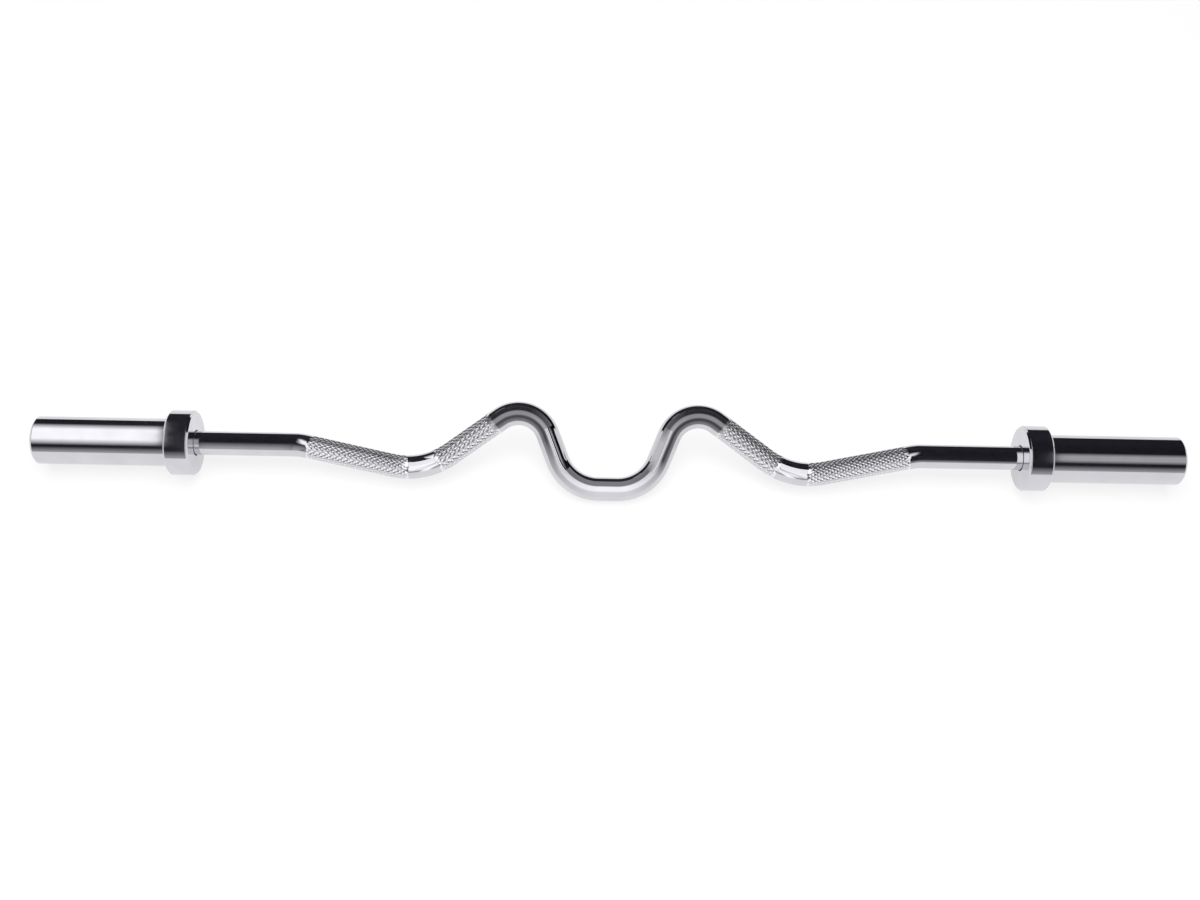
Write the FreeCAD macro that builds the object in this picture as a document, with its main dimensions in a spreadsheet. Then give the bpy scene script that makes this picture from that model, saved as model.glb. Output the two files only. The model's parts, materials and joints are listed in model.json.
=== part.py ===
import FreeCAD, Part
import Sketcher
import math
import os
import re

# Bent-shaft curl bar with two revolving plate sleeves, in millimetres and degrees.
# X runs along the sleeves' common axis, the origin is at the bar's middle and +Z is up. The bar lies
# as it rests on a floor, on both collars and on the dip in the middle of the shaft, so the plane of
# the bends leans back from the dip in front, at -Y, to the two crests behind.

SIZES = {
    # Whole bar, and the length of sleeve that plates slide on
    "bar_length": 1194,
    "load_length": 140,
    # Bends of the shaft from its middle outwards: dip, steep side, crest, inner grip, valley, outer
    # grip, and the shoulder bend that brings it back to the sleeves' axis. Radii are of the centre line
    "shaft_diameter": 25,
    "dip_flat": 20,
    "dip_radius": 46,
    "side_angle": 68.5,
    "side_run": 30,
    "crest_radius": 32.5,
    "inner_grip_angle": 36,
    "inner_grip_run": 63,
    "valley_radius": 79,
    "outer_grip_angle": 11.5,
    "outer_grip_run": 93,
    "shoulder_bend_radius": 50,
    # Journal turned on each end of the shaft, with a groove for its retaining ring
    "shoulder_step": 1.5,
    "shoulder_inset": 1,
    "journal_tail": 4,
    "journal_chamfer": 1.5,
    "groove_depth": 0.5,
    # Sleeve tube, with a spigot for the collar at its inner end and a mouth for the cap at the other
    "sleeve_diameter": 50,
    "sleeve_wall": 8,
    "spigot_step": 2,
    "end_chamfer": 2.5,
    "mouth_chamfer": 1,
    "mouth_lip": 3.2,
    "cap_seat_step": 3,
    "cap_groove_depth": 1.2,
    # Collar, a cup over the spigot whose wall the shaft passes through
    "collar_diameter": 68,
    "collar_width": 26,
    "collar_wall": 5,
    "rim_chamfer": 2,
    "shaft_hole_gap": 1,
    # Slotted spring pin through the collar into the spigot
    "pin_diameter": 5,
    "pin_wall": 1,
    "pin_slot": 1.2,
    "pin_sink": 0.5,
    "pin_bite": 4,
    "pin_tip_gap": 0.4,
    # Bushings, thrust washers and their running clearances
    "inner_bushing_length": 30,
    "outer_bushing_length": 25,
    "bushing_chamfer": 0.8,
    "journal_clearance": 0.05,
    "end_float": 0.2,
    "washer_thickness": 2,
    "washer_clearance": 0.1,
    "washer_rim_gap": 0.5,
    # End cap, dished on its face
    "cap_thickness": 5,
    "cap_gap": 8,
    "cap_rim": 6,
    "cap_dish_depth": 1,
    # Snap rings, one kind on the journal and one in the sleeve's mouth
    "retaining_ring_thickness": 1.2,
    "retaining_ring_width": 3.2,
    "cap_ring_thickness": 1.8,
    "cap_ring_width": 3.4,
    "ring_float": 0.1,
    "ring_gap": 7,
    "lug_radius": 2.3,
    "lug_hole_radius": 1,
    "lug_trim": 0.4,
    # Angle that both sleeves have turned through where the bar rests
    "sleeve_turn": 25,
}

# Radii, heights and stations along X that follow from the sizes
FORMULAS = {
    "shaft_radius": "shaft_diameter / 2",
    "journal_radius": "shaft_radius - shoulder_step",
    "sleeve_radius": "sleeve_diameter / 2",
    "spigot_radius": "sleeve_radius - spigot_step",
    "bore_radius": "sleeve_radius - sleeve_wall",
    "mouth_radius": "bore_radius + cap_seat_step",
    "collar_radius": "collar_diameter / 2",
    "sleeve_end": "bar_length / 2",
    "collar_outer_face": "sleeve_end - load_length",
    "collar_inner_face": "collar_outer_face - collar_width",
    "sleeve_inner_end": "collar_inner_face + collar_wall",
    "pin_station": "(sleeve_inner_end + collar_outer_face) / 2",
    "shaft_shoulder": "sleeve_inner_end + shoulder_inset",
    "inner_bushing_start": "shaft_shoulder + washer_thickness + end_float",
    "cap_groove_outer": "sleeve_end - mouth_lip",
    "cap_groove_inner": "cap_groove_outer - cap_ring_thickness - ring_float",
    "cap_seat": "cap_groove_inner - cap_thickness",
    "journal_end": "cap_seat - cap_gap",
    "ring_groove_outer": "journal_end - journal_tail",
    "retaining_ring_start": "ring_groove_outer - retaining_ring_thickness",
    "ring_groove_inner": "retaining_ring_start - ring_float",
    "outer_washer_start": "retaining_ring_start - washer_thickness",
    "outer_bushing_start": "outer_washer_start - end_float - outer_bushing_length",
    # Climb from the middle of the dip to the sleeves' axis, added up bend by bend
    "dip_depth": "dip_radius * (1 - cos(side_angle)) + side_run * sin(side_angle)"
                 " + crest_radius * (cos(inner_grip_angle) - cos(side_angle))"
                 " - inner_grip_run * sin(inner_grip_angle)"
                 " + valley_radius * (cos(inner_grip_angle) - cos(outer_grip_angle))"
                 " + outer_grip_run * sin(outer_grip_angle)"
                 " + shoulder_bend_radius * (1 - cos(outer_grip_angle))",
    # Turn of the bends' plane from upright at which the dip and the collars touch one floor
    "shaft_lean": "acos(min(1; (collar_radius - shaft_radius) / dip_depth))",
}

# Bends of half the shaft from the middle outwards: radius, then the run after it and its slope
CAMBER = [
    ("dip_radius", "side_run", "side_angle"),
    ("crest_radius", "inner_grip_run", "-inner_grip_angle"),
    ("valley_radius", "outer_grip_run", "outer_grip_angle"),
]

ALONG_BAR = FreeCAD.Vector(1, 0, 0)
UPRIGHT = FreeCAD.Vector(0, 0, 1)

document = FreeCAD.newDocument("CurlBar")
sheet = document.addObject("Spreadsheet::Sheet", "Sizes")


def fill_sheet():
    """Writes every size and formula in a cell of its own that carries the size's name."""
    cells = dict(SIZES)
    cells.update({name: "=" + formula for name, formula in FORMULAS.items()})
    for row, (name, content) in enumerate(cells.items(), start=1):
        sheet.set(f"A{row}", name)
        sheet.set(f"B{row}", str(content))
        sheet.setAlias(f"B{row}", name)
    document.recompute()


def from_sheet(formula):
    """The formula with each size's name written as the cell that holds it."""
    return re.sub(r"[a-z]+(?:_[a-z]+)+", lambda name: "Sizes." + name.group(0), formula)


def worth(formula):
    """The number that a formula of sizes gives."""
    return float(sheet.evalExpression(from_sheet(formula)))


def new_body(label):
    body = document.addObject("PartDesign::Body", label)
    body.Label = label
    return body


def origin_plane(body, role):
    return next(plane for plane in body.Origin.OriginFeatures if plane.Role == role)


def new_sketch(body, name, role, offset="0"):
    """Empty sketch on an origin plane of its body, or on one parallel to it at an offset."""
    sketch = body.newObject("Sketcher::SketchObject", name)
    sketch.AttachmentSupport = [(origin_plane(body, role), "")]
    sketch.MapMode = "FlatFace"
    sketch.setExpression("AttachmentOffset.Base.z", from_sheet(offset))
    return sketch


def bound(sketch, formula, *constraint):
    """Adds a dimension that the sheet drives."""
    index = sketch.addConstraint(Sketcher.Constraint(*constraint, worth(formula)))
    sketch.setExpression(f"Constraints[{index}]", from_sheet(formula))


def locate(sketch, edge, point, across, up):
    """Holds a point of an edge at its distances from the sketch's origin, or on its axes for zero."""
    for kind, axis, formula in (("DistanceX", -2, across), ("DistanceY", -1, up)):
        if formula == "0":
            sketch.addConstraint(Sketcher.Constraint("PointOnObject", edge, point, axis))
        elif formula is not None:
            bound(sketch, formula, kind, -1, 1, edge, point)


def draw_outline(sketch, corners):
    """Closed outline of straight edges through corners, each given by two formulas.

    A corner level with the one before it takes that level from an upright or level edge.
    """
    spots = [FreeCAD.Vector(worth(across), worth(up), 0) for across, up in corners]
    for spot, following in zip(spots, spots[1:] + spots[:1]):
        sketch.addGeometry(Part.LineSegment(spot, following), False)
    for edge, (across, up) in enumerate(corners):
        before = (edge - 1) % len(corners)
        sketch.addConstraint(Sketcher.Constraint("Coincident", before, 2, edge, 1))
        if edge and across == corners[before][0]:
            sketch.addConstraint(Sketcher.Constraint("Vertical", before))
            across = None
        if edge and up == corners[before][1]:
            sketch.addConstraint(Sketcher.Constraint("Horizontal", before))
            up = None
        locate(sketch, edge, 1, across, up)


def draw_circle(sketch, radius, across="0", up="0"):
    centre = FreeCAD.Vector(worth(across), worth(up), 0)
    edge = sketch.addGeometry(Part.Circle(centre, UPRIGHT, worth(radius)), False)
    bound(sketch, radius, "Radius", edge)
    locate(sketch, edge, 3, across, up)


def turn(body, name, section):
    """Solid turned about the bar's axis from a half section of stations and radii."""
    sketch = new_sketch(body, name + "Section", "XZ_Plane")
    draw_outline(sketch, section)
    turned = body.newObject("PartDesign::Revolution", name)
    turned.Profile = sketch
    turned.ReferenceAxis = (sketch, ["H_Axis"])
    return turned


def pad(body, name, sketch, length):
    padded = body.newObject("PartDesign::Pad", name)
    padded.Profile = sketch
    padded.setExpression("Length", from_sheet(length))
    return padded


def cut_through(body, name, sketch, along_normal):
    """Cuts the sketch right through the body to one side of its plane, and proves that it cut."""
    document.recompute()
    before = body.Shape.Volume
    cut = body.newObject("PartDesign::Pocket", name)
    cut.Profile = sketch
    cut.Type = "ThroughAll"
    cut.Reversed = along_normal
    document.recompute()
    if not body.Shape.Volume < before:
        raise RuntimeError(f"{name} takes nothing off {body.Label}")


def draw_camber(sketch):
    """Centre line of half the shaft in the plane of its bends: straight runs joined by tangent arcs."""
    spot = FreeCAD.Vector(0, worth("-dip_depth"), 0)
    slope = 0
    former = None
    bends = [(None, "dip_flat / 2", "0"), *CAMBER, ("shoulder_bend_radius", None, "0")]
    for radius, run, slope_formula in bends:
        new_slope = math.radians(worth(slope_formula))
        if radius:
            rising = new_slope > slope
            side = 1 if rising else -1
            normal = FreeCAD.Vector(-math.sin(slope), math.cos(slope), 0)
            centre = spot + normal * (side * worth(radius))
            ends = [slope - side * math.pi / 2, new_slope - side * math.pi / 2]
            circle = Part.Circle(centre, UPRIGHT, worth(radius))
            arc = sketch.addGeometry(Part.ArcOfCircle(circle, min(ends), max(ends)), False)
            near, far = (1, 2) if rising else (2, 1)
            bound(sketch, radius, "Radius", arc)
            sketch.addConstraint(Sketcher.Constraint("Tangent", former, 2, arc, near))
            new_normal = FreeCAD.Vector(-math.sin(new_slope), math.cos(new_slope), 0)
            spot = centre - new_normal * (side * worth(radius))
        slope = new_slope
        reach = worth(run) if run else worth("shaft_shoulder") - spot.x
        heading = FreeCAD.Vector(math.cos(slope), math.sin(slope), 0)
        line = sketch.addGeometry(Part.LineSegment(spot, spot + heading * reach), False)
        spot = spot + heading * reach
        if radius:
            sketch.addConstraint(Sketcher.Constraint("Tangent", arc, far, line, 1))
        if run:
            bound(sketch, run, "Distance", line)
        if slope_formula == "0":
            sketch.addConstraint(Sketcher.Constraint("Horizontal", line))
        else:
            index = sketch.addConstraint(Sketcher.Constraint("Angle", line, slope))
            sketch.setExpression(f"Constraints[{index}]", from_sheet(slope_formula))
        former = line
    sketch.addConstraint(Sketcher.Constraint("PointOnObject", 0, 1, -2))
    locate(sketch, former, 2, "shaft_shoulder", "0")


def shaft():
    """One bar bent symmetrically about its middle, with a turned journal beyond each shoulder."""
    body = new_body("shaft")
    spine = new_sketch(body, "Camber", "XZ_Plane")
    draw_camber(spine)
    section = new_sketch(body, "BarSection", "YZ_Plane", "shaft_shoulder")
    draw_circle(section, "shaft_radius")
    document.recompute()
    bar = body.newObject("PartDesign::AdditivePipe", "HalfBar")
    bar.Profile = section
    bar.Spine = (spine, [f"Edge{number + 1}" for number in range(len(spine.Shape.Edges))])
    journal = turn(body, "Journal", [
        ("shaft_shoulder", "0"),
        ("shaft_shoulder", "journal_radius"),
        ("ring_groove_inner", "journal_radius"),
        ("ring_groove_inner", "journal_radius - groove_depth"),
        ("ring_groove_outer", "journal_radius - groove_depth"),
        ("ring_groove_outer", "journal_radius"),
        ("journal_end - journal_chamfer", "journal_radius"),
        ("journal_end", "journal_radius - journal_chamfer"),
        ("journal_end", "0"),
    ])
    document.recompute()
    mirrored = body.newObject("PartDesign::Mirrored", "OtherHalf")
    mirrored.Originals = [bar, journal]
    mirrored.MirrorPlane = (origin_plane(body, "YZ_Plane"), [""])
    body.Tip = mirrored
    body.Placement.Rotation = FreeCAD.Rotation(-ALONG_BAR, worth("shaft_lean"))
    body.setExpression("Placement.Rotation.Angle", from_sheet("shaft_lean"))
    return body


def drill_for_pin(body, level):
    """Hole for the spring pin, from a depth under the axis out through the wall below it."""
    sketch = new_sketch(body, "PinHoleOutline", "XY_Plane", level)
    draw_circle(sketch, "pin_diameter / 2", "pin_station")
    cut_through(body, "PinHole", sketch, along_normal=False)


def sleeve(label):
    """Tube that carries the plates: spigot, shoulder, bevelled end, cap mouth and ring groove."""
    body = new_body(label)
    turn(body, "Tube", [
        ("sleeve_inner_end", "bore_radius"),
        ("sleeve_inner_end", "spigot_radius"),
        ("collar_outer_face", "spigot_radius"),
        ("collar_outer_face", "sleeve_radius"),
        ("sleeve_end - end_chamfer", "sleeve_radius"),
        ("sleeve_end", "sleeve_radius - end_chamfer"),
        ("sleeve_end", "mouth_radius + mouth_chamfer"),
        ("sleeve_end - mouth_chamfer", "mouth_radius"),
        ("cap_groove_outer", "mouth_radius"),
        ("cap_groove_outer", "mouth_radius + cap_groove_depth"),
        ("cap_groove_inner", "mouth_radius + cap_groove_depth"),
        ("cap_groove_inner", "mouth_radius"),
        ("cap_seat", "mouth_radius"),
        ("cap_seat", "bore_radius"),
    ])
    drill_for_pin(body, "pin_bite + pin_tip_gap - spigot_radius")
    return body


def collar(label):
    """Cup that stops the plates, pressed over the spigot, with a hole that clears the shaft."""
    body = new_body(label)
    turn(body, "Cup", [
        ("collar_inner_face", "shaft_radius + shaft_hole_gap"),
        ("collar_inner_face", "collar_radius - rim_chamfer"),
        ("collar_inner_face + rim_chamfer", "collar_radius"),
        ("collar_outer_face - rim_chamfer", "collar_radius"),
        ("collar_outer_face", "collar_radius - rim_chamfer"),
        ("collar_outer_face", "spigot_radius"),
        ("sleeve_inner_end", "spigot_radius"),
        ("sleeve_inner_end", "shaft_radius + shaft_hole_gap"),
    ])
    drill_for_pin(body, "0")
    return body


def collar_pin(label):
    """Rolled spring pin, sunk under the collar's rim and biting into the spigot."""
    body = new_body(label)
    ring = new_sketch(body, "Ring", "XY_Plane", "pin_sink - collar_radius")
    draw_circle(ring, "pin_diameter / 2", "pin_station")
    draw_circle(ring, "pin_diameter / 2 - pin_wall", "pin_station")
    pad(body, "Roll", ring, "collar_radius - pin_sink - spigot_radius + pin_bite")
    slot = new_sketch(body, "SlotOutline", "XY_Plane", "pin_sink - collar_radius")
    draw_outline(slot, [
        ("pin_station", "-pin_slot / 2"),
        ("pin_station + pin_diameter", "-pin_slot / 2"),
        ("pin_station + pin_diameter", "pin_slot / 2"),
        ("pin_station", "pin_slot / 2"),
    ])
    cut_through(body, "Slot", slot, along_normal=True)
    return body


def bushing(label, start, length):
    """Plain bronze bush, pressed in the sleeve's bore and running on the journal."""
    body = new_body(label)
    end = f"{start} + {length}"
    turn(body, "Bush", [
        (start, "journal_radius + journal_clearance + bushing_chamfer"),
        (start, "bore_radius - bushing_chamfer"),
        (f"{start} + bushing_chamfer", "bore_radius"),
        (f"{end} - bushing_chamfer", "bore_radius"),
        (end, "bore_radius - bushing_chamfer"),
        (end, "journal_radius + journal_clearance + bushing_chamfer"),
        (f"{end} - bushing_chamfer", "journal_radius + journal_clearance"),
        (f"{start} + bushing_chamfer", "journal_radius + journal_clearance"),
    ])
    return body


def thrust_washer(label, start):
    body = new_body(label)
    turn(body, "Washer", [
        (start, "journal_radius + washer_clearance"),
        (start, "bore_radius - washer_rim_gap"),
        (f"{start} + washer_thickness", "bore_radius - washer_rim_gap"),
        (f"{start} + washer_thickness", "journal_radius + washer_clearance"),
    ])
    return body


def end_cap(label):
    """Disc pressed in the sleeve's mouth against its seat, with a shallow dish in its face."""
    body = new_body(label)
    turn(body, "Disc", [
        ("cap_seat", "0"),
        ("cap_seat", "mouth_radius"),
        ("cap_groove_inner", "mouth_radius"),
        ("cap_groove_inner", "mouth_radius - cap_rim"),
        ("cap_groove_inner - cap_dish_depth", "mouth_radius - cap_rim"),
        ("cap_groove_inner - cap_dish_depth", "0"),
    ])
    return body


def snap_ring(label, start, thickness, inner, outer, lug_level):
    """Open spring ring with a drilled lug on each side of its gap, for a pair of pliers."""
    body = new_body(label)
    ring = new_sketch(body, "Band", "YZ_Plane", start)
    draw_circle(ring, inner)
    draw_circle(ring, outer)
    pad(body, "Ring", ring, thickness)
    lug_across = "(ring_gap / 2 + lug_radius - lug_trim)"
    lug_up = f"-sqrt(pow({lug_level}; 2) - pow({lug_across}; 2))"
    for side in ("", "-"):
        lug = new_sketch(body, "LugOutline", "YZ_Plane", start)
        draw_circle(lug, "lug_radius", side + lug_across, lug_up)
        pad(body, "Lug", lug, thickness)
    for side in ("", "-"):
        hole = new_sketch(body, "LugHoleOutline", "YZ_Plane", start)
        draw_circle(hole, "lug_hole_radius", side + lug_across, lug_up)
        cut_through(body, "LugHole", hole, along_normal=True)
    gap = new_sketch(body, "GapOutline", "YZ_Plane", start)
    draw_outline(gap, [
        ("-ring_gap / 2", f"-{outer} - lug_radius * 2"),
        ("ring_gap / 2", f"-{outer} - lug_radius * 2"),
        ("ring_gap / 2", "0"),
        ("-ring_gap / 2", "0"),
    ])
    cut_through(body, "Gap", gap, along_normal=True)
    return body


def retaining_ring(label):
    inner = "(journal_radius - groove_depth)"
    outer = "(journal_radius - groove_depth + retaining_ring_width)"
    return snap_ring(label, "retaining_ring_start", "retaining_ring_thickness", inner, outer, outer)


def end_cap_ring(label):
    inner = "(mouth_radius + cap_groove_depth - cap_ring_width)"
    outer = "(mouth_radius + cap_groove_depth)"
    return snap_ring(label, "cap_groove_inner", "cap_ring_thickness", inner, outer, inner)


def sleeve_stack(side):
    """Every piece at one end of the bar, drawn at its right hand end."""
    return [
        sleeve(f"{side}_sleeve"),
        collar(f"{side}_collar"),
        collar_pin(f"{side}_collar_pin"),
        bushing(f"{side}_inner_bushing", "inner_bushing_start", "inner_bushing_length"),
        bushing(f"{side}_outer_bushing", "outer_bushing_start", "outer_bushing_length"),
        thrust_washer(f"{side}_inner_thrust_washer", "shaft_shoulder"),
        thrust_washer(f"{side}_outer_thrust_washer", "outer_washer_start"),
        retaining_ring(f"{side}_retaining_ring"),
        end_cap(f"{side}_end_cap"),
        end_cap_ring(f"{side}_end_cap_ring"),
    ]


def build():
    """All pieces in their places: the left hand stack is the right hand one turned half round Z."""
    pieces = [shaft()]
    rest_turn = FreeCAD.Rotation(ALONG_BAR, worth("sleeve_turn"))
    for side, half_turn in (("left", 180), ("right", 0)):
        for piece in sleeve_stack(side):
            piece.Placement.Rotation = rest_turn * FreeCAD.Rotation(UPRIGHT, half_turn)
            pieces.append(piece)
    document.recompute()
    return pieces


def check(pieces):
    """Stops on any failed object or broken solid before a file is written."""
    for item in document.Objects:
        if {"Invalid", "Error"} & set(item.State):
            raise RuntimeError(f"{item.Label} failed")
    for piece in pieces:
        if piece.Shape.isNull() or not piece.Shape.isValid() or len(piece.Shape.Solids) != 1:
            raise RuntimeError(f"{piece.Label} is not one sound solid")


fill_sheet()
all_pieces = build()
check(all_pieces)
os.makedirs("parts", exist_ok=True)
for one_piece in all_pieces:
    one_piece.Shape.exportStep(f"parts/{one_piece.Label}.step")
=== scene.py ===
import json
import math

import bmesh
import bpy
import numpy as np
from mathutils import Matrix, Vector


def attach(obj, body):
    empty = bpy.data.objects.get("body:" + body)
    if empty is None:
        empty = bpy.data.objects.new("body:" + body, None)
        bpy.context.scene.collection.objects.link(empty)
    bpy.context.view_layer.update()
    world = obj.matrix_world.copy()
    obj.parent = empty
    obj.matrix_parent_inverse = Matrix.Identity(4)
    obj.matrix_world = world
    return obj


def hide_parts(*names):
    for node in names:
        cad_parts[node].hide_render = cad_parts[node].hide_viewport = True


# Looks of a bent-shaft curl bar in chrome, in metres, in the same frame as its CAD model: X along
# the sleeves' axis, the origin at the bar's middle and +Z up.

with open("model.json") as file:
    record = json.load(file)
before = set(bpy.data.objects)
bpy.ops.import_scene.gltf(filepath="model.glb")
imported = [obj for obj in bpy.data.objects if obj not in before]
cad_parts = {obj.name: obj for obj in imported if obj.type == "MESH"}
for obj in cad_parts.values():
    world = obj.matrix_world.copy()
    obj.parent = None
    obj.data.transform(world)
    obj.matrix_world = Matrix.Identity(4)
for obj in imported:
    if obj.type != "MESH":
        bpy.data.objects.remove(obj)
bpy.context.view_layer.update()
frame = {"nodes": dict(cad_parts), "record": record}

bl_info = {
    "name": "Curl bar",
    "version": (1, 0, 0),
    "blender": (4, 5, 0),
    "location": "3D View > Sidebar > Curl bar",
    "description": "Dresses a curl bar's CAD model with a knurled shaft, turned ends and chrome",
    "category": "Add Mesh",
}

SIDES = {"left": -1, "right": 1}
WHITE = (1, 1, 1, 1)

# Points round the sleeves and the caps, and round the collars from one side of the pin's patch to
# the other
SLEEVE_POINTS = 160
CAP_POINTS = 128
COLLAR_POINTS = 150
# Points on each rounded corner, and reach of the point beside it in lengths of the rounding
CORNER_POINTS = 6
CORNER_HOLD = 1.4
# Rings of points in the pin's hole and in the patch round it, then the outermost ring in the hole
# and half the patch's width, both in radii of the hole
HOLE_RINGS = 5
PATCH_RINGS = 6
HOLE_RIM = 0.98
PATCH_REACH = 2
# Points closer than this are merged, in metres
MERGE_DISTANCE = 1e-7
# Samples of the shaft's centre line on one side, and points along and round the stage's cloths
LINE_SAMPLES = 4000
CANOPY_COLUMNS = 601
CANOPY_ROWS = 91
CARD_COLUMNS = 81
# Width of the camera's sensor in millimetres
SENSOR_WIDTH = 36

# Widths in metres of wiped patches, of scuffs, which are hairlines in life and drawn wider here so
# that they show, and of oil stains
PATCH_WIDTH = 0.025
SCUFF_WIDTH = 0.0015
STAIN_WIDTH = 0.008
# Brightness of turned metal in an oil stain, as a share of its brightness beside it
STAIN_SHADE = 0.75
# Unevenness of the rings on turned metal
RING_WOBBLE = 0.5
# Roughness of chrome from clean to dulled, and of the knurl from its points to its grooves
CHROME_ROUGHNESS = (0.02, 0.12)
KNURL_ROUGHNESS = (0.1, 0.25)
# Share of the knurl that is mirror, from its points to its grooves
KNURL_MIRROR = (1, 0.9)
# Power of the groove attribute that is drawn as a dark line of painted shade along the knurl's
# grooves
GROOVE_SHADE_POWER = 8

# Share of a panel's or a card's full glow at the four places where it starts, is full, starts to
# fade and ends
FADE = (0, 1, 1, 0)
# Soft panels that the chrome mirrors: glow, then the four places of the fade along X in metres, and
# in degrees round the bar from the front horizon
PANELS = (
    # Boxes before the left grips, the left valley, the dip and the right grips
    (1.5, (-0.88, -0.72, -0.40, -0.18), (0, 24, 80, 104)),
    (1.5, (-0.79, -0.65, -0.53, -0.39), (48, 72, 100, 124)),
    (1.45, (-0.22, -0.06, 0.16, 0.34), (-30, -10, 90, 114)),
    (1.4, (0.28, 0.60, 0.82, 0.96), (0, 24, 80, 104)),
    # Low light that joins these boxes
    (1.3, (-0.45, -0.30, 0.42, 0.65), (0, 24, 34, 58)),
    # Faint light before the left straight part of the shaft
    (0.5, (-1.32, -1.28, -1.00, -0.94), (-30, -10, 14, 70)),
    # Large box over the left sleeve and dim one before the right sleeve
    (1.5, (-2.50, -2.30, -1.42, -1.39), (37, 67, 115, 145)),
    (0.5, (1.50, 1.54, 2.60, 2.80), (38, 54, 72, 88)),
    # Light along the floor in front
    (0.5, (-9, -8, 8, 9), (-60, -30, 0, 28)),
)
# Painted reflections: cards just over the shaft, which only its mirror shows, lay light and dark
# bands on its bends. Each has the sides that it is on, then in metres the four places of its fade
# along X from the middle and distances up from the shaft's centre line, and the glow at each
# distance, first where the card is full and then at its ends
REFLECTION_CARDS = (
    # Painted reflection: white line round the dip, with grey above it
    (
        SIDES,
        (0, 0, 0.020, 0.046),
        (-0.030, -0.004, -0.002, 0.003, 0.0045, 0.030),
        (0.95, 1.0, 1.4, 1.4, 0.3, 0.3),
        (0.8, 0.65, 1.1, 0.9, 0.2, 0.35),
    ),
    # Painted reflection: light over the inside of the right steep side
    (
        ("right",),
        (0.046, 0.054, 0.060, 0.066),
        (0.001, 0.006, 0.030),
        (0.75, 0.8, 0.7),
        (0.8, 0.3, 0.3),
    ),
    # Painted reflection: dark tops of the crests
    (
        SIDES,
        (0.066, 0.084, 0.119, 0.124),
        (-0.001, 0.0025, 0.0045, 0.031),
        (0.42, 0.42, 0.03, 0.02),
        (0.7, 0.5, 0.15, 0.25),
    ),
    # Painted reflection: dark line inside the crests, which is full from further in on the right
    (
        ("left",),
        (0.046, 0.062, 0.119, 0.124),
        (-0.031, -0.009, -0.005, -0.003, -0.001),
        (0.4, 0.25, 0.1, 0.1, 0.42),
        (0.8, 0.65, 0.7, 0.9, 1.1),
    ),
    (
        ("right",),
        (0.046, 0.054, 0.119, 0.124),
        (-0.031, -0.009, -0.005, -0.003, -0.001),
        (0.4, 0.25, 0.08, 0.08, 0.42),
        (0.8, 0.65, 0.7, 0.9, 1.1),
    ),
    # Painted reflection: white insides of the valleys
    (SIDES, (0.176, 0.178, 0.212, 0.214), (0.001, 0.007), (1.3, 1.3), (1.3, 1.3)),
)


def linear(hex_colour):
    """Linear RGB of an sRGB hex colour."""
    srgb = np.array([int(hex_colour[start:start + 2], 16) for start in (1, 3, 5)]) / 255
    return tuple(np.where(srgb <= 0.04045, srgb / 12.92, ((srgb + 0.055) / 1.055) ** 2.4))


def length(name, description, default):
    """Setting in metres."""
    return bpy.props.FloatProperty(
        name=name, description=description, default=default, unit="LENGTH", precision=4
    )


def angle(name, description, degrees):
    """Setting in radians, from its default in degrees."""
    return bpy.props.FloatProperty(
        name=name, description=description, default=math.radians(degrees), subtype="ANGLE"
    )


def number(name, description, default):
    """Setting without a unit."""
    return bpy.props.FloatProperty(name=name, description=description, default=default)


def colour(name, description, hex_colour):
    """Setting as linear RGB, from its default in sRGB."""
    return bpy.props.FloatVectorProperty(
        name=name,
        description=description,
        default=linear(hex_colour),
        subtype="COLOR",
        min=0,
        max=1,
    )


class ShaftSizes(bpy.types.PropertyGroup):
    """Bends of the shaft from its middle outwards, and the journal on its end."""

    radius: length("Radius", "Radius of the bar that the shaft is bent from", 0.0125)
    dip_flat: length("Dip flat", "Straight run in the middle of the dip", 0.020)
    dip_radius: length("Dip radius", "Centre-line radius of the dip's bends", 0.046)
    side_angle: angle("Side angle", "Slope of the dip's steep sides", 68.5)
    side_run: length("Side run", "Straight run on each steep side", 0.030)
    crest_radius: length("Crest radius", "Centre-line radius of each crest", 0.0325)
    inner_grip_angle: angle("Inner grip angle", "Slope of the inner grips", 36)
    inner_grip_run: length("Inner grip run", "Straight run of each inner grip", 0.063)
    valley_radius: length("Valley radius", "Centre-line radius between the grips", 0.079)
    outer_grip_angle: angle("Outer grip angle", "Slope of the outer grips", 11.5)
    outer_grip_run: length("Outer grip run", "Straight run of each outer grip", 0.093)
    shoulder_bend_radius: length(
        "Shoulder bend", "Centre-line radius of the bend onto the axis", 0.050
    )
    lean: angle("Lean", "Turn of the bends' plane from upright, with the dip on the floor", 57.89)
    shoulder: length("Shoulder", "Start of the journal, from the bar's middle", 0.437)
    journal_end: length("Journal end", "End of the journal, from the bar's middle", 0.5789)
    journal_radius: length("Journal radius", "Radius that the bushings run on", 0.011)
    journal_bevel: length("Journal bevel", "Bevel on the journal's end", 0.0015)
    groove_start: length("Groove start", "Inner side of the retaining ring's groove", 0.5736)
    groove_end: length("Groove end", "Outer side of the retaining ring's groove", 0.5749)
    groove_radius: length("Groove radius", "Radius in the retaining ring's groove", 0.0105)
    row_spacing: length("Row spacing", "Spacing of the mesh along the plain parts", 0.002)


class KnurlSizes(bpy.types.PropertyGroup):
    """Diamond knurl rolled into the grips, with each band's ends as distances from the middle."""

    diamonds: bpy.props.IntProperty(
        name="Diamonds", description="Diamonds once round the shaft", default=20, min=8
    )
    half_diamond: length("Half diamond", "Half the length of a diamond along the shaft", 0.003)
    depth: length("Depth", "Depth of the grooves between the diamonds", 0.00045)
    inner_start: length("Inner band start", "Near end of the inner grip's band", 0.119)
    inner_end: length("Inner band end", "Far end of the inner grip's band", 0.178)
    outer_start: length("Outer band start", "Near end of the outer grip's band", 0.208)
    outer_end: length("Outer band end", "Far end of the outer grip's band", 0.313)


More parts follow.
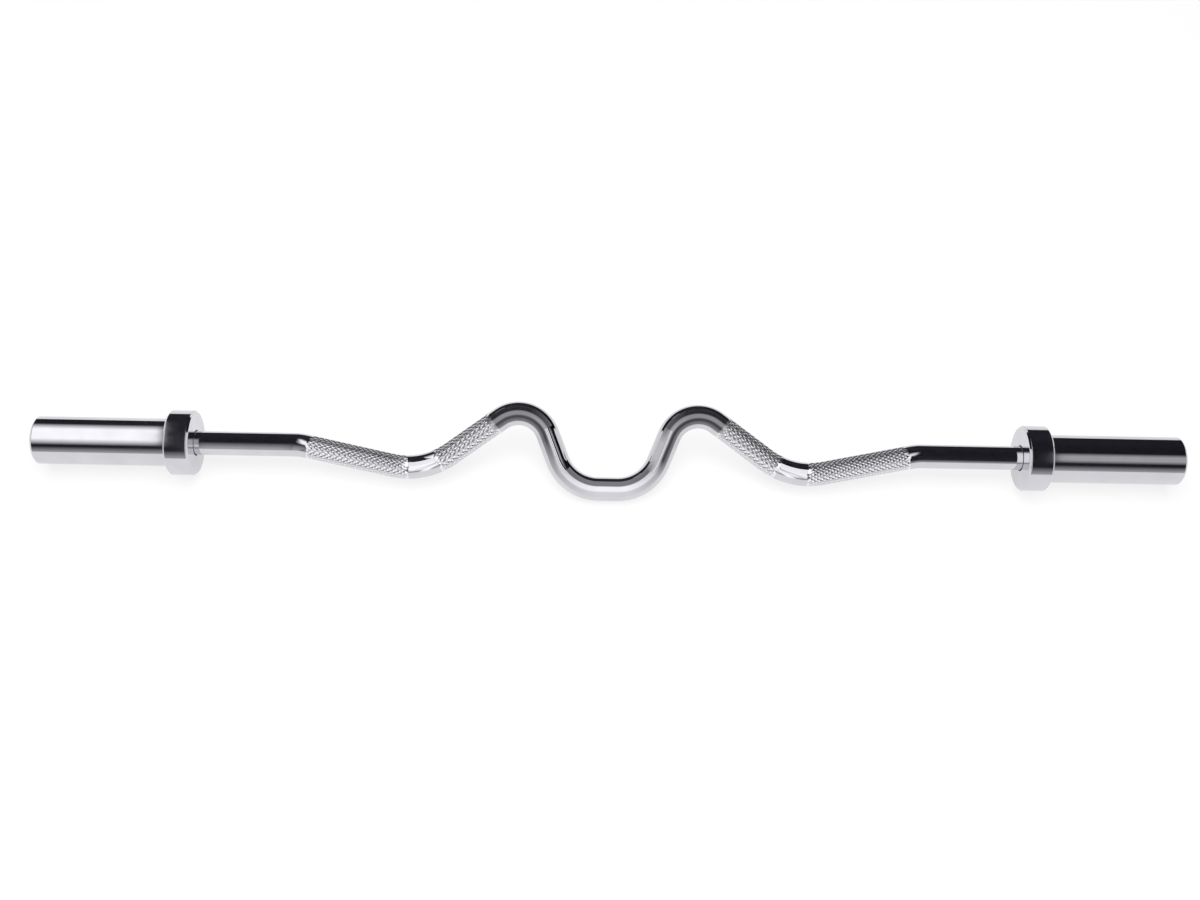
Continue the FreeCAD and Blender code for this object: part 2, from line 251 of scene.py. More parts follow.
class SleeveSizes(bpy.types.PropertyGroup):
    """Turned pieces at each end of the bar, as distances from its middle and radii."""

    inner_end: length("Inner end", "End of the sleeve inside its collar", 0.436)
    end: length("End", "Far end of the sleeve", 0.597)
    radius: length("Radius", "Radius that plates slide on", 0.025)
    bevel: length("Bevel", "Bevel on the far end", 0.0025)
    spigot_radius: length("Spigot radius", "Radius that the collar is pressed on", 0.023)
    bore_radius: length("Bore radius", "Radius of the bore", 0.017)
    mouth_radius: length("Mouth radius", "Radius of the end cap's seat", 0.020)
    mouth_bevel: length("Mouth bevel", "Bevel round the mouth", 0.001)
    cap_seat: length("Cap seat", "Where the end cap sits", 0.5869)
    groove_start: length("Groove start", "Inner side of the cap ring's groove", 0.5919)
    groove_end: length("Groove end", "Outer side of the cap ring's groove", 0.5938)
    groove_radius: length("Groove radius", "Radius in the cap ring's groove", 0.0212)
    dish_radius: length("Dish radius", "Radius of the dish in the end cap", 0.014)
    dish_depth: length("Dish depth", "Depth of the dish in the end cap", 0.001)
    edge: length("Edge", "Rounding of every turned edge", 0.0004)
    turn: angle("Turn", "Turn of the sleeves about their axis at rest", 25)


class CollarSizes(bpy.types.PropertyGroup):
    """Stop collar and the hole of its spring pin."""

    start: length("Start", "Collar's face towards the middle", 0.431)
    end: length("End", "Collar's face that plates stop against", 0.457)
    radius: length("Radius", "Radius of the collar", 0.034)
    bevel: length("Bevel", "Bevel on both rims", 0.002)
    shaft_hole: length("Shaft hole", "Radius of the hole for the shaft", 0.0135)
    pin_station: length("Pin station", "Where the spring pin is", 0.4465)
    pin_hole: length("Pin hole", "Radius of the spring pin's hole", 0.0026)
    pin_sink: length("Pin sink", "Depth at which the hole closes round the pin", 0.0008)


class Finishes(bpy.types.PropertyGroup):
    """Colours of the finishes and of the stage."""

    chrome: colour("Chrome", "Polished chrome plate", "#D6D5DA")
    haze: colour("Haze", "Chrome where hands and plates have dulled it", "#C4C3C8")
    points: colour("Points", "Chrome on the knurl's points", "#E6E5E9")
    groove: colour("Groove", "Shade in the bottom of the knurl", "#6E6D74")
    steel: colour("Spring steel", "Oiled spring steel", "#777A80")
    bronze: colour("Bearing bronze", "Machined bronze", "#A9793F")
    floor: colour("Floor", "Plain pale floor", "#F6F6F7")
    canopy: colour("Canopy", "Dark cloth over the bar, which the chrome mirrors", "#38373E")
    room: colour("Room", "Dim light from the room", "#55555A")


class StageSizes(bpy.types.PropertyGroup):
    """Camera, floor, cloths and lamp."""

    camera_side: length("Camera side", "Camera's place along the bar from its middle", -0.027)
    camera_distance: length("Camera distance", "Camera's distance from the sleeves' axis", 1.3927)
    camera_elevation: angle("Camera elevation", "Camera's height above the horizon", 58.4)
    camera_roll: angle("Camera roll", "Camera's roll, anticlockwise", 1.07)
    focal_share: number("Focal share", "Focal length as a share of the image's width", 1.1083)
    shift_share: number(
        "Shift share", "Sideways lens shift as a share of the image's width", 0.0147
    )
    floor_width: length("Floor width", "Width of the floor", 12)
    floor_white_share: number(
        "Floor white share", "Share of the floor's look that no shadow dims", 0.8
    )
    shadow_reach: length(
        "Shadow reach", "Distance from the middle at which the shadow starts to fade out", 1
    )
    canopy_radius: length("Canopy radius", "Radius of the dark canopy over the bar", 3)
    card_gap: length("Card gap", "Gap between the shaft and the cards over it", 0.001)
    lamp_height: length("Lamp height", "Height of the overhead lamp", 2.6)
    lamp_width: length("Lamp width", "Width of the overhead lamp", 2.5)
    lamp_power: bpy.props.FloatProperty(
        name="Lamp power", description="Power of the overhead lamp", default=85, unit="POWER"
    )


class CurlBarSettings(bpy.types.PropertyGroup):
    """Everything that a user would change."""

    shaft: bpy.props.PointerProperty(type=ShaftSizes)
    knurl: bpy.props.PointerProperty(type=KnurlSizes)
    sleeve: bpy.props.PointerProperty(type=SleeveSizes)
    collar: bpy.props.PointerProperty(type=CollarSizes)
    finish: bpy.props.PointerProperty(type=Finishes)
    stage: bpy.props.PointerProperty(type=StageSizes)


def add_node(tree, kind, inputs=None, **settings):
    """Adds a node with its settings, and sets or links its inputs by name or number."""
    node = tree.nodes.new(kind)
    for name, value in settings.items():
        setattr(node, name, value)
    for name, value in (inputs or {}).items():
        if isinstance(value, bpy.types.NodeSocket):
            tree.links.new(value, node.inputs[name])
        else:
            node.inputs[name].default_value = value
    return node


def new_tree(material):
    """Empty node tree of a new material."""
    material.use_nodes = True
    material.node_tree.nodes.clear()
    return material.node_tree


def combined(tree, operation, first, second):
    """Two values of the node tree put through one of its maths operations."""
    inputs = {0: first, 1: second}
    return add_node(tree, "ShaderNodeMath", inputs, operation=operation).outputs["Value"]


def mixed_colour(tree, share, first, second):
    """Mix of two colours by the second one's share."""
    inputs = {"Factor": share, "A": (*first, 1), "B": (*second, 1)}
    return add_node(tree, "ShaderNodeMix", inputs, data_type="RGBA").outputs["Result"]


def ranged(tree, value, limits):
    """Value from 0 to 1 spread evenly from the first limit to the second."""
    inputs = {"Value": value, "To Min": limits[0], "To Max": limits[1]}
    return add_node(tree, "ShaderNodeMapRange", inputs).outputs["Result"]


def noise(tree, place, width, detail):
    """Cloudy pattern from 0 to 1 whose patches are about that wide."""
    inputs = {"Vector": place, "Scale": 1 / width, "Detail": detail}
    return add_node(tree, "ShaderNodeTexNoise", inputs).outputs["Fac"]


def show_metal(tree, tint, roughness, metallic=1):
    """Ends a material in a metal with that colour and roughness."""
    shader = add_node(
        tree,
        "ShaderNodeBsdfPrincipled",
        {"Base Color": tint, "Roughness": roughness, "Metallic": metallic},
    )
    add_node(tree, "ShaderNodeOutputMaterial", {"Surface": shader.outputs["BSDF"]})


def polished_chrome(name, finish, stretch):
    """Bright chrome plate on polished steel: it mirrors the room.

    Wiped and handled patches have a faint haze, and scuffs are drawn out along the bar by the
    stretch. The plate is dullest where both meet, by the product of the two.
    """
    material = bpy.data.materials.new(name)
    tree = new_tree(material)
    place = add_node(tree, "ShaderNodeTexCoord").outputs["Object"]
    drawn_out = add_node(tree, "ShaderNodeMapping", {"Vector": place, "Scale": (1 / stretch, 1, 1)})
    patches = noise(tree, place, PATCH_WIDTH, detail=4)
    scuffs = noise(tree, drawn_out.outputs["Vector"], SCUFF_WIDTH, detail=2)
    tint = mixed_colour(tree, patches, finish.chrome, finish.haze)
    dulled = combined(tree, "MULTIPLY", patches, scuffs)
    show_metal(tree, tint, ranged(tree, dulled, CHROME_ROUGHNESS))
    return material


def knurled_chrome(name, finish):
    """Chrome plate over rolled diamonds: bright points, satin faces, painted shade in the grooves.

    The groove attribute falls evenly from the grooves to the points. A high power of it stays near
    the grooves, as a dark line of painted shade, drawn wider than in life so that it shows. Fine
    tool marks on the faces scatter light as a matt surface does, so they aren't all mirror.
    """
    material = bpy.data.materials.new(name)
    tree = new_tree(material)
    groove = add_node(tree, "ShaderNodeAttribute", attribute_name="groove").outputs["Fac"]
    # Painted shade: the groove colour darkens a line along each groove of the knurl
    lines = combined(tree, "POWER", groove, GROOVE_SHADE_POWER)
    tint = mixed_colour(tree, lines, finish.points, finish.groove)
    roughness = ranged(tree, groove, KNURL_ROUGHNESS)
    show_metal(tree, tint, roughness, ranged(tree, groove, KNURL_MIRROR))
    return material


def turned_metal(name, tone, ring_spacing, roughness_range):
    """Metal from a lathe: fine rings about the bar's axis, and faint stains from its oil."""
    material = bpy.data.materials.new(name)
    tree = new_tree(material)
    place = add_node(tree, "ShaderNodeTexCoord").outputs["Object"]
    # A wave of scale 1 repeats every pi / 10
    rings = add_node(
        tree,
        "ShaderNodeTexWave",
        {"Vector": place, "Scale": math.pi / 10 / ring_spacing, "Distortion": RING_WOBBLE},
        wave_type="RINGS",
        rings_direction="X",
    )
    stains = noise(tree, place, STAIN_WIDTH, detail=3)
    tint = mixed_colour(tree, stains, tone, [STAIN_SHADE * part for part in tone])
    show_metal(tree, tint, ranged(tree, rings.outputs["Fac"], roughness_range))
    return material


def grid_faces(rows, columns, closed):
    """Triangles of a grid that closes round its columns, and from last row to first if closed.

    The diagonals alternate like the squares of a chessboard, so in a knurl whose corners are high
    and low by turns each diagonal is a groove from one low corner to the next.
    """
    row, column = np.meshgrid(np.arange(rows - 1 + closed), np.arange(columns), indexing="ij")
    following = (row + 1) % rows
    beside = (column + 1) % columns
    a = row * columns + column
    b = following * columns + column
    c = following * columns + beside
    d = row * columns + beside
    even = ((row + column) % 2 == 0)[..., None]
    first = np.where(even, np.stack([a, d, b], -1), np.stack([a, c, b], -1))
    second = np.where(even, np.stack([b, d, c], -1), np.stack([a, d, c], -1))
    return np.stack([first, second], 2).reshape(-1, 3)


def new_piece(name, points, faces, materials, flat=None, groove=None):
    """Mesh object from a grid, with poles merged and faces outwards, smooth where it isn't flat.

    Flat faces take the second material.
    """
    flat = np.zeros(len(faces), bool) if flat is None else flat
    mesh = bpy.data.meshes.new(name)
    mesh.from_pydata(points.reshape(-1, 3), [], faces)
    mesh.polygons.foreach_set("use_smooth", ~flat)
    mesh.polygons.foreach_set("material_index", flat.astype(np.int32))
    if groove is not None:
        mesh.attributes.new("groove", "FLOAT", "POINT").data.foreach_set("value", groove.ravel())
    for material in materials:
        mesh.materials.append(material)
    shell = bmesh.new()
    shell.from_mesh(mesh)
    bmesh.ops.remove_doubles(shell, verts=shell.verts, dist=MERGE_DISTANCE)
    bmesh.ops.recalc_face_normals(shell, faces=shell.faces)
    shell.to_mesh(mesh)
    shell.free()
    piece = bpy.data.objects.new(name, mesh)
    bpy.context.scene.collection.objects.link(piece)
    return piece


def camber(sizes, station):
    """Centre line of the shaft at distances along it from its middle: X, height and slope.

    The slope stays on each straight run and changes evenly along each arc. From the start of a run
    or arc, the chord to a point is the length between them times sin(h) / h, at the mean slope,
    where h is half the turn between them. Heights are in the bends' plane, from the sleeves' axis.
    """
    side, inner, outer = sizes.side_angle, -sizes.inner_grip_angle, sizes.outer_grip_angle
    slopes = np.array([0, 0, side, side, inner, inner, outer, outer, 0, 0])
    radii = [sizes.dip_radius, sizes.crest_radius, sizes.valley_radius, sizes.shoulder_bend_radius]
    runs = [
        sizes.dip_flat / 2,
        sizes.side_run,
        sizes.inner_grip_run,
        sizes.outer_grip_run,
        # Along the axis, and longer than any distance that is asked for
        sizes.shoulder,
    ]
    turns = np.diff(slopes)
    lengths = np.empty(len(turns))
    lengths[0::2] = runs
    lengths[1::2] = radii * np.abs(turns[1::2])
    starts = np.concatenate([[0], np.cumsum(lengths)])

    def chord(far, slope, turn):
        reach = far * np.sinc(turn / (2 * math.pi))
        return np.stack([reach * np.cos(slope + turn / 2), reach * np.sin(slope + turn / 2)])

    corners = np.cumsum(chord(lengths, slopes[:-1], turns), axis=1)
    corners = np.hstack([np.zeros((2, 1)), corners])
    corners[1] -= corners[1, -1]
    far = np.abs(station)
    part = np.clip(np.searchsorted(starts, far, side="right") - 1, 0, len(turns) - 1)
    slope = np.interp(far, starts, slopes)
    x, height = corners[:, part] + chord(far - starts[part], slopes[part], slope - slopes[part])
    return np.sign(station) * x, height, np.sign(station) * slope


def stations_at(sizes, places):
    """Distances along the shaft's centre line at places along X, read off between its samples.

    The samples go on to twice the shoulder's place, because the bends make the line longer.
    """
    station = np.linspace(0, 2 * sizes.shoulder, LINE_SAMPLES)
    return np.interp(places, camber(sizes, station)[0], station)


def shaft_rows(sizes, knurl):
    """Stations and radii of the shaft's rows from one end to the other, and which are knurled.

    Rows are spaced evenly between the ends of each plain or knurled stretch. The journal's rows
    follow its turned outline.
    """
    inner_band = (knurl.inner_start, knurl.inner_end)
    outer_band = (knurl.outer_start, knurl.outer_end)
    marks = stations_at(sizes, [0, *inner_band, *outer_band, sizes.shoulder])
    stretches = []
    knurled = []
    for index, (start, end) in enumerate(zip(marks, marks[1:])):
        is_knurled = index % 2 == 1
        spacing = knurl.half_diamond if is_knurled else sizes.row_spacing
        rows = np.linspace(start, end, round((end - start) / spacing), endpoint=False)
        stretches.append(rows)
        # A band's first row stays plain, like the row after its last, so both its ends are round
        knurled.append(np.full(len(rows), is_knurled) & (rows > start))
    journal = np.array([
        (sizes.shoulder, sizes.radius),
        (sizes.shoulder, sizes.journal_radius),
        (sizes.groove_start, sizes.journal_radius),
        (sizes.groove_start, sizes.groove_radius),
        (sizes.groove_end, sizes.groove_radius),
        (sizes.groove_end, sizes.journal_radius),
        (sizes.journal_end - sizes.journal_bevel, sizes.journal_radius),
        (sizes.journal_end, sizes.journal_radius - sizes.journal_bevel),
        (sizes.journal_end, 0),
    ])
    plain = np.concatenate(stretches)
    half_station = np.concatenate([plain, journal[:, 0] - sizes.shoulder + marks[-1]])
    half_radius = np.concatenate([np.full(len(plain), sizes.radius), journal[:, 1]])
    half_knurled = np.concatenate([*knurled, np.zeros(len(journal), bool)])
    return (
        np.concatenate([-half_station[:0:-1], half_station]),
        np.concatenate([half_radius[:0:-1], half_radius]),
        np.concatenate([half_knurled[:0:-1], half_knurled]),
    )


def leaned(sizes, along, up_plane, off_plane):
    """Points from their places in the bends' plane and distances off it towards the camera."""
    y = up_plane * math.sin(sizes.lean) - off_plane * math.cos(sizes.lean)
    z = up_plane * math.cos(sizes.lean) + off_plane * math.sin(sizes.lean)
    return np.stack([along, y, z], -1)


def tube(sizes, station, radius):
    """Round tube on the shaft's centre line, with a row of radii for each station.

    A point is the centre plus its radius times cos(t) of the normal in the bends' plane and sin(t)
    of the normal to that plane, which leans back from upright.
    """
    x, height, slope = (values[:, None] for values in camber(sizes, station))
    t = np.linspace(0, 2 * math.pi, radius.shape[1], endpoint=False)
    along = x - radius * np.cos(t) * np.sin(slope)
    up_plane = height + radius * np.cos(t) * np.cos(slope)
    return leaned(sizes, along, up_plane, radius * np.sin(t))


def eased(corners, edge):
    """Closed outline of stations and radii whose corners are rounded off.

    Each corner becomes a quadratic curve between two points one edge length back along its sides,
    or a third of a side where that is less. A point more on each side keeps the flats flat.
    """
    corners = np.array(corners)
    to_sides = np.stack([np.roll(corners, 1, 0), np.roll(corners, -1, 0)]) - corners
    lengths = np.linalg.norm(to_sides, axis=2, keepdims=True)
    backs = np.minimum(edge, lengths / 3) / lengths
    start, end = corners + to_sides * backs
    hold_start, hold_end = corners + to_sides * backs * CORNER_HOLD
    t = np.linspace(0, 1, CORNER_POINTS)[:, None, None]
    curve = (1 - t) ** 2 * start + 2 * t * (1 - t) * corners + t ** 2 * end
    rows = np.concatenate([hold_start[None], curve, hold_end[None]])
    return rows.transpose(1, 0, 2).reshape(-1, 2)


def lathe(station, radius, around):
    """Points turned about X: each row's radius swings from straight down towards +Y."""
    y, z = radius * np.sin(around), -radius * np.cos(around)
    return np.stack(np.broadcast_arrays(station, y, z), -1)


def turned_piece(name, side, points, material):
    """Ring of turned points at the right-hand end, or mirrored for the left."""
    rows, columns = points.shape[:2]
    placed = points * (SIDES[side], 1, 1)
    piece = new_piece(f"{side}_{name}", placed, grid_faces(rows, columns, closed=True), [material])
    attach(piece, f"{side}_revolving_sleeve")
    return piece


def round_angles(columns):
    """Even angles once round, without the last that closes on the first."""
    return np.linspace(0, 2 * math.pi, columns, endpoint=False)


def sink_pin_hole(points, sizes, outer_rows, around, pin_angle):
    """Sinks the round mouth of the pin's hole into the rows on the collar's outside.

    In a square patch round the pin, each square ring of the grid is drawn in to a circle of the
    same half width near the hole and left square at the patch's edge. Rings inside the hole, up to
    half way from the outermost of them to its edge, lie deeper.
    """
    patch = PATCH_REACH * sizes.pin_hole
    u = points[outer_rows, :, 0] - sizes.pin_station
    v = sizes.radius * (around - pin_angle)[None, :] + 0 * u
    ring = np.maximum(np.abs(u), np.abs(v))
    # Never zero, because it divides
    far = np.maximum(np.hypot(u, v), np.finfo(float).tiny)
    square = np.clip((ring - sizes.pin_hole) / (patch - sizes.pin_hole), 0, 1)
    squeeze = np.where(ring < patch, square + (1 - square) * ring / far, 1)
    depth = np.where(ring < (HOLE_RIM + 1) / 2 * sizes.pin_hole, sizes.pin_sink, 0)
    points[outer_rows] = lathe(
        sizes.pin_station + u * squeeze,
        sizes.radius - depth,
        pin_angle + v * squeeze / sizes.radius,
    )


class CURLBAR_OT_shaft(bpy.types.Operator):
    """Bent shaft with a diamond knurl on its four grips"""

    bl_idname = "curlbar.shaft"
    bl_label = "Knurled shaft"

    def execute(self, context):
        settings = context.scene.curl_bar
        knurl = settings.knurl
        station, row_radius, knurled = shaft_rows(settings.shaft, knurl)
        columns = 2 * knurl.diamonds
        row, column = np.meshgrid(np.arange(len(station)), np.arange(columns), indexing="ij")
        # The grid's corners are high and low by turns, and a low one is in a groove
        groove = ((row + column) % 2 * knurled[:, None]).astype(float)
        points = tube(settings.shaft, station, row_radius[:, None] - knurl.depth * groove)
        # Two triangles for each column between one row and the next
        flat = np.repeat(knurled[:-1] | knurled[1:], 2 * columns)
        chrome = polished_chrome("Polished chrome plate", settings.finish, stretch=1)
        rolled = knurled_chrome("Knurled chrome plate", settings.finish)
        faces = grid_faces(len(station), columns, closed=False)
        piece = new_piece("knurled_shaft", points, faces, [chrome, rolled], flat, groove)
        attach(piece, "bar")
        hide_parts("shaft")
        return {"FINISHED"}


class CURLBAR_OT_sleeves(bpy.types.Operator):
    """Plate sleeves, with a spigot inside the collar and a mouth for the end cap"""

    bl_idname = "curlbar.sleeves"
    bl_label = "Plate sleeves"

    def execute(self, context):
        settings = context.scene.curl_bar
        sizes = settings.sleeve
        collar_end = settings.collar.end
        outline = eased(
            [
                (sizes.inner_end, sizes.bore_radius),
                (sizes.inner_end, sizes.spigot_radius),
                (collar_end, sizes.spigot_radius),
                (collar_end, sizes.radius),
                (sizes.end - sizes.bevel, sizes.radius),
                (sizes.end, sizes.radius - sizes.bevel),
                (sizes.end, sizes.mouth_radius + sizes.mouth_bevel),
                (sizes.end - sizes.mouth_bevel, sizes.mouth_radius),
                (sizes.groove_end, sizes.mouth_radius),
                (sizes.groove_end, sizes.groove_radius),
                (sizes.groove_start, sizes.groove_radius),
                (sizes.groove_start, sizes.mouth_radius),
                (sizes.cap_seat, sizes.mouth_radius),
                (sizes.cap_seat, sizes.bore_radius),
            ],
            sizes.edge,
        )
        points = lathe(outline[:, :1], outline[:, 1:], round_angles(SLEEVE_POINTS))
        chrome = polished_chrome("Plate-worn chrome plate", settings.finish, stretch=12)
        for side in SIDES:
            piece = turned_piece("plate_sleeve", side, points, chrome)
            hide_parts(f"{side}_sleeve")
        return {"FINISHED"}


class CURLBAR_OT_collars(bpy.types.Operator):
    """Stop collars, each with the mouth of its spring pin's hole"""

    bl_idname = "curlbar.collars"
    bl_label = "Stop collars"

    def execute(self, context):
        settings = context.scene.curl_bar
        sizes = settings.collar
        sleeve = settings.sleeve
        corners = [
            (sizes.start + sizes.bevel, sizes.radius),
            (sizes.end - sizes.bevel, sizes.radius),
            (sizes.end, sizes.radius - sizes.bevel),
            (sizes.end, sleeve.spigot_radius),
            (sleeve.inner_end, sleeve.spigot_radius),
            (sleeve.inner_end, sizes.shaft_hole),
            (sizes.start, sizes.shaft_hole),
            (sizes.start, sizes.radius - sizes.bevel),
        ]
        outline = eased(corners, sleeve.edge)
        # The pin's rows go in between the first two corners
        corner_rows = len(outline) // len(corners)
        inside = sizes.pin_hole * np.linspace(0, HOLE_RIM, HOLE_RINGS)
        outside = sizes.pin_hole * np.linspace(1, PATCH_REACH, PATCH_RINGS)
        across = np.concatenate([-outside[::-1], -inside[:0:-1], inside, outside])
        outer_rows = slice(corner_rows, corner_rows + len(across))
        pin_rows = np.stack([sizes.pin_station + across, np.full(len(across), sizes.radius)], -1)
        outline = np.insert(outline, corner_rows, pin_rows, axis=0)
        patch = across / sizes.radius
        rest = np.linspace(patch[-1], 2 * math.pi + patch[0], COLLAR_POINTS)[1:-1]
        around = sleeve.turn + np.concatenate([patch, rest])
        points = lathe(outline[:, :1], outline[:, 1:], around)
        sink_pin_hole(points, sizes, outer_rows, around, sleeve.turn)
        chrome = bpy.data.materials["Polished chrome plate"]
        for side in SIDES:
            piece = turned_piece("stop_collar", side, points, chrome)
            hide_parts(f"{side}_collar")
        return {"FINISHED"}


class CURLBAR_OT_end_caps(bpy.types.Operator):
    """Dished end caps in the sleeves' mouths"""

    bl_idname = "curlbar.end_caps"
    bl_label = "End caps"

    def execute(self, context):
        settings = context.scene.curl_bar
        sizes = settings.sleeve
        outline = eased(
            [
                (sizes.cap_seat, 0),
                (sizes.cap_seat, sizes.mouth_radius),
                (sizes.groove_start, sizes.mouth_radius),
                (sizes.groove_start, sizes.dish_radius),
                (sizes.groove_start - sizes.dish_depth, sizes.dish_radius),
                (sizes.groove_start - sizes.dish_depth, 0),
            ],
            sizes.edge,
        )
        points = lathe(outline[:, :1], outline[:, 1:], round_angles(CAP_POINTS))
        faced = turned_metal(
            "Faced chrome plate",
            settings.finish.chrome,
            ring_spacing=0.0012,
            roughness_range=(0.12, 0.3),
        )
        for side in SIDES:
            piece = turned_piece("dished_cap", side, points, faced)
            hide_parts(f"{side}_end_cap")
        return {"FINISHED"}


class CURLBAR_OT_cad_finishes(bpy.types.Operator):
    """Finishes of the CAD nodes: spring steel, bronze and chrome by their slots in the record"""

    bl_idname = "curlbar.cad_finishes"
    bl_label = "CAD finishes"

    def execute(self, context):
        finish = context.scene.curl_bar.finish
        materials = {
            "chrome": bpy.data.materials["Polished chrome plate"],
            # Rings, washers and pins are stamped or rolled, so their lines are fine
            "spring_steel": turned_metal(
                "Oiled spring steel",
                finish.steel,
                ring_spacing=0.0008,
                roughness_range=(0.22, 0.4),
            ),
            # Bushings show the tool's feed
            "bronze": turned_metal(
                "Machined bearing bronze",
                finish.bronze,
                ring_spacing=0.001,
                roughness_range=(0.25, 0.45),
            ),
        }
        for subpart in frame["record"]["subparts"]:
            mesh = frame["nodes"][subpart["node"]].data
            mesh.materials.clear()
            mesh.materials.append(materials[subpart["material_slot"]])
        return {"FINISHED"}


class CURLBAR_OT_stage(bpy.types.Operator):
    """Pale floor under the bar, dark canopy over it, cards that paint reflections on the shaft,
    softbox, room and camera
    """

    bl_idname = "curlbar.stage"
    bl_label = "Stage"

    def execute(self, context):
        settings = context.scene.curl_bar
        context.scene.view_settings.view_transform = "Standard"
        lay_floor(settings)
        cloth = studio_cloth(settings.finish)
        hang_canopy(settings.stage, cloth)
        # Painted reflections on the shaft's bends
        hang_reflection_cards(settings, cloth)
        hang_lamp(settings.stage)
        light_room(context.scene, settings.finish)
        place_camera(context.scene, settings.stage)
        return {"FINISHED"}


def seen(tree):
    """1 on rays that the eye follows, straight, mirrored or through glass, and 0 on others."""
    path = add_node(tree, "ShaderNodeLightPath").outputs
    bounced = combined(tree, "MAXIMUM", path["Is Glossy Ray"], path["Is Transmission Ray"])
    return combined(tree, "MAXIMUM", path["Is Camera Ray"], bounced)


def stage_piece(name, points, faces, material):
    """Stage object with one material."""
    mesh = bpy.data.meshes.new(name)
    mesh.from_pydata(points, [], faces)
    mesh.materials.append(material)
    piece = bpy.data.objects.new(name, mesh)
    bpy.context.scene.collection.objects.link(piece)
    return piece


def lay_floor(settings):
    """Square floor under the collars, white but for the bar's shadow and all white further away.

    The share of plain white stays the same up to the shadow's reach and rises evenly to all of it
    at twice that distance.
    """
    half = settings.stage.floor_width / 2
    level = -settings.collar.radius
    corners = [(x * half, y * half, level) for x, y in ((-1, -1), (1, -1), (1, 1), (-1, 1))]
    material = bpy.data.materials.new("Matt white board")
    tree = new_tree(material)
    place = add_node(tree, "ShaderNodeTexCoord").outputs["Object"]
    far = add_node(tree, "ShaderNodeVectorMath", {0: place}, operation="LENGTH")
    white_share = add_node(
        tree,
        "ShaderNodeMapRange",
        {
            "Value": far.outputs["Value"],
            "From Min": settings.stage.shadow_reach,
            "From Max": 2 * settings.stage.shadow_reach,
            "To Min": settings.stage.floor_white_share,
            "To Max": 1,
        },
    )
    share = combined(tree, "MULTIPLY", seen(tree), white_share.outputs["Result"])
    matt = add_node(tree, "ShaderNodeBsdfDiffuse", {"Color": (*settings.finish.floor, 1)})
    white = add_node(tree, "ShaderNodeEmission", {"Color": WHITE, "Strength": 1})
    mixed = add_node(
        tree,
        "ShaderNodeMixShader",
        {0: share, 1: matt.outputs["BSDF"], 2: white.outputs["Emission"]},
    )
    add_node(tree, "ShaderNodeOutputMaterial", {"Surface": mixed.outputs["Shader"]})
    stage_piece("floor", corners, [(0, 1, 2, 3)], material)


def studio_cloth(finish):
    """Dark cloth that glows by the glow attribute: lamp panels on the canopy, painted reflections
    on the cards.
    """
    material = bpy.data.materials.new("Dark studio cloth with soft panels")
    material.cycles.emission_sampling = "NONE"
    tree = new_tree(material)
    brightness = add_node(tree, "ShaderNodeAttribute", attribute_name="glow").outputs["Fac"]
    cloth = add_node(tree, "ShaderNodeBsdfDiffuse", {"Color": (*finish.canopy, 1)})
    panel = add_node(tree, "ShaderNodeEmission", {"Strength": brightness})
    both = add_node(
        tree, "ShaderNodeAddShader", {0: cloth.outputs["BSDF"], 1: panel.outputs["Emission"]}
    )
    add_node(tree, "ShaderNodeOutputMaterial", {"Surface": both.outputs["Shader"]})
    return material


def hang_cloth(name, points, glow, material):
    """Stage piece from a grid of points with a glow at each, which the camera looks through."""
    rows, columns = glow.shape
    row, column = np.meshgrid(np.arange(rows - 1), np.arange(columns - 1), indexing="ij")
    first = (row * columns + column).ravel()
    faces = np.stack([first, first + 1, first + columns + 1, first + columns], -1)
    piece = stage_piece(name, points.reshape(-1, 3), faces, material)
    piece.data.attributes.new("glow", "FLOAT", "POINT").data.foreach_set("value", glow.ravel())
    piece.visible_camera = False
    return piece


def hang_canopy(sizes, material):
    """Half tunnel of dark cloth along X, from the floor in front over the bar to the floor behind.

    Each point has a place along X and a height as an angle round the bar from the front horizon.
    Soft-edged panels glow on it, which the chrome mirrors. A panel's glow is its full glow times
    its fades both ways, and where panels meet the brightest counts.
    """
    half = sizes.floor_width / 2
    along, around = np.meshgrid(
        np.linspace(-half, half, CANOPY_COLUMNS), np.linspace(0, math.pi, CANOPY_ROWS)
    )
    points = np.stack(
        [along, -sizes.canopy_radius * np.cos(around), sizes.canopy_radius * np.sin(around)], -1
    )
    height = np.degrees(around)
    panels = [
        glow * np.interp(along, places, FADE) * np.interp(height, heights, FADE)
        for glow, places, heights in PANELS
    ]
    hang_cloth("canopy", points, np.max(panels, 0), material)


def hang_reflection_cards(settings, material):
    """Strips that follow the shaft's centre line at a small gap from its face, seen only in its
    mirror as painted reflections.

    A point is a place on the centre line plus its distance up along the normal in the bends' plane.
    Its glow goes evenly from the row's glow at the card's ends to that where the card is full.
    """
    shaft = settings.shaft
    for index, (sides, places, *rows) in enumerate(REFLECTION_CARDS):
        rise, full, end = np.array(rows)[..., None]
        marks = stations_at(shaft, places)
        covered = np.linspace(marks[0], marks[-1], CARD_COLUMNS)
        share = np.interp(covered, marks, FADE)
        glow = share * full + (1 - share) * end
        for side in sides:
            along, height, slope = camber(shaft, SIDES[side] * covered)
            off_plane = np.full(glow.shape, shaft.radius + settings.stage.card_gap)
            points = leaned(
                shaft, along - rise * np.sin(slope), height + rise * np.cos(slope), off_plane
            )
            # Painted reflection: the card is hidden from the camera, diffuse light and shadows, so
            # only the shaft's mirror shows it
            card = hang_cloth(f"{side}_card_{index}", points, glow, material)
            card.visible_diffuse = False
            card.visible_shadow = False


def hang_lamp(sizes):
    """Overhead softbox for the floor, which the chrome doesn't mirror."""
    lamp = bpy.data.lights.new("overhead_softbox", "AREA")
    lamp.size = sizes.lamp_width
    lamp.energy = sizes.lamp_power
    softbox = bpy.data.objects.new("overhead_softbox", lamp)
    softbox.location = (0, 0, sizes.lamp_height)
    softbox.visible_camera = False
    softbox.visible_glossy = False
    bpy.context.scene.collection.objects.link(softbox)


